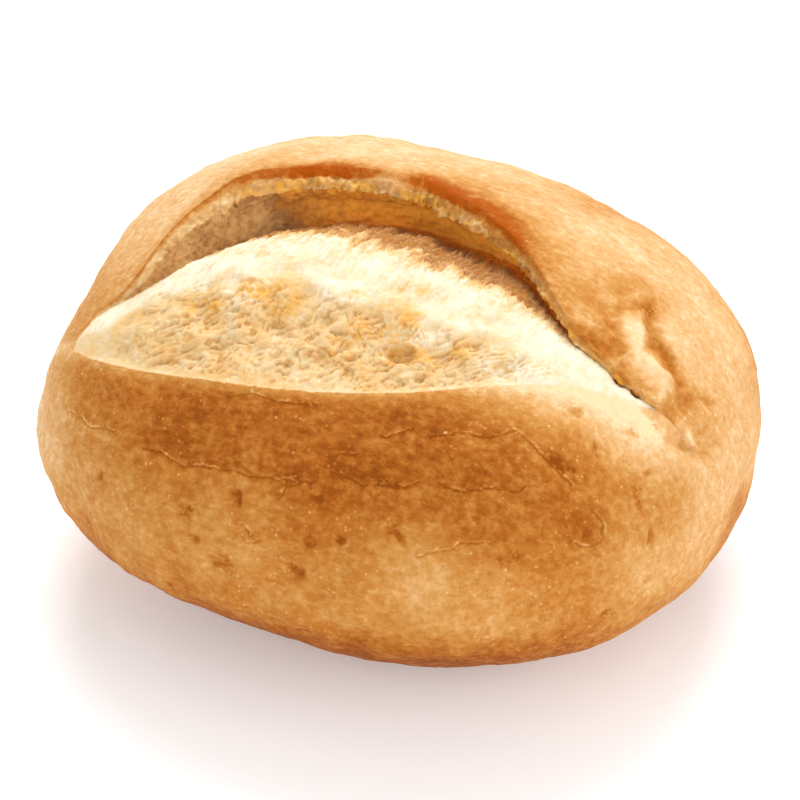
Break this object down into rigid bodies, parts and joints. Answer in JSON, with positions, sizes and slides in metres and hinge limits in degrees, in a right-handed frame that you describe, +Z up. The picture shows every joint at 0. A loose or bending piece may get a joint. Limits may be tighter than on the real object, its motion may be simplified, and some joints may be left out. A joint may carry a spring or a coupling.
{
  "type": "mini baguette bread roll",
  "caption": "Short plump crusty bread roll with a lengthwise slash that opened in the oven: torn pale crumb under a raised, darker ear of crust.",
  "frame": {"origin": "centre of the bounding box in plan, on the flat base the roll rests on", "axes": "+X along the roll to the slash's narrow end, +Y to the back, the side the ear belongs to, +Z up out of the base"},
  "size_m": [0.1023, 0.095, 0.0562],
  "materials": {
    "crust": "matt to slightly satin baked wheat crust, golden to brown, with torn pale crumb in the slash"
  },
  "bodies": {
    "root": {"roll": "crust"}
  },
  "joints": []
}
